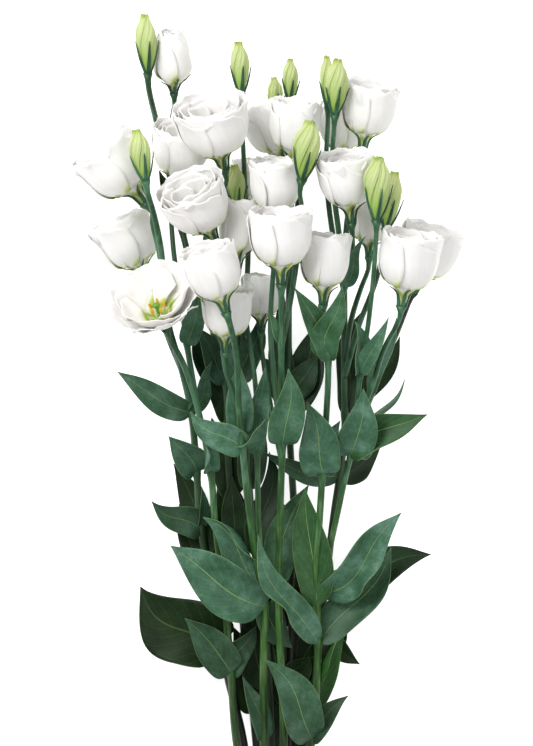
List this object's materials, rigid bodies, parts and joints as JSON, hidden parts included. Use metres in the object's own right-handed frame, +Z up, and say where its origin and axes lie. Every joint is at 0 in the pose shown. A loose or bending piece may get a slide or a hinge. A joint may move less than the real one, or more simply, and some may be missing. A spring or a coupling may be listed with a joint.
{
  "type": "bunch of lisianthus flowers",
  "caption": "Tied bunch of cut white double lisianthus with goblet blooms, twisted buds and paired oval leaves, lying on its back.",
  "frame": {"origin": "on the table, under the middle of the band that ties the stems", "axes": "+Y along the stems from the cut ends to the flowers, +X to the right seen from above, +Z up from the table"},
  "size_m": [0.2962, 0.7283, 0.1538],
  "materials": {
    "petal": "matte",
    "bud": "satin",
    "stem_and_leaf": "satin",
    "anther": "matte",
    "twine": "matte"
  },
  "bodies": {
    "root": {"bloom_01": "petal", "bloom_02": "petal", "bloom_03": "petal", "bloom_04": "petal", "bloom_05": "petal", "bloom_06": "petal", "bloom_07": "petal", "bloom_08": "petal", "bloom_09": "petal", "bloom_10": "petal", "bloom_11": "petal", "bloom_12": "petal", "bloom_13": "petal", "bloom_14": "petal", "bloom_15": "petal", "bloom_16": "petal", "bloom_17": "petal", "bloom_18": "petal", "bloom_19": "petal", "bloom_20": "petal", "bloom_21": "petal", "bloom_22": "petal", "bloom_23": "petal", "bud_01": "bud", "bud_02": "bud", "bud_03": "bud", "bud_04": "bud", "bud_05": "bud", "bud_06": "bud", "bud_07": "bud", "bud_08": "bud", "bud_09": "bud", "bud_10": "bud", "bud_11": "bud", "stamens_07": "anther", "stem_a": "stem_and_leaf", "stem_b": "stem_and_leaf", "stem_c": "stem_and_leaf", "stem_d": "stem_and_leaf", "stem_e": "stem_and_leaf", "stem_f": "stem_and_leaf", "stem_g": "stem_and_leaf", "stem_h": "stem_and_leaf", "stem_i": "stem_and_leaf", "tie": "twine"}
  },
  "joints": []
}
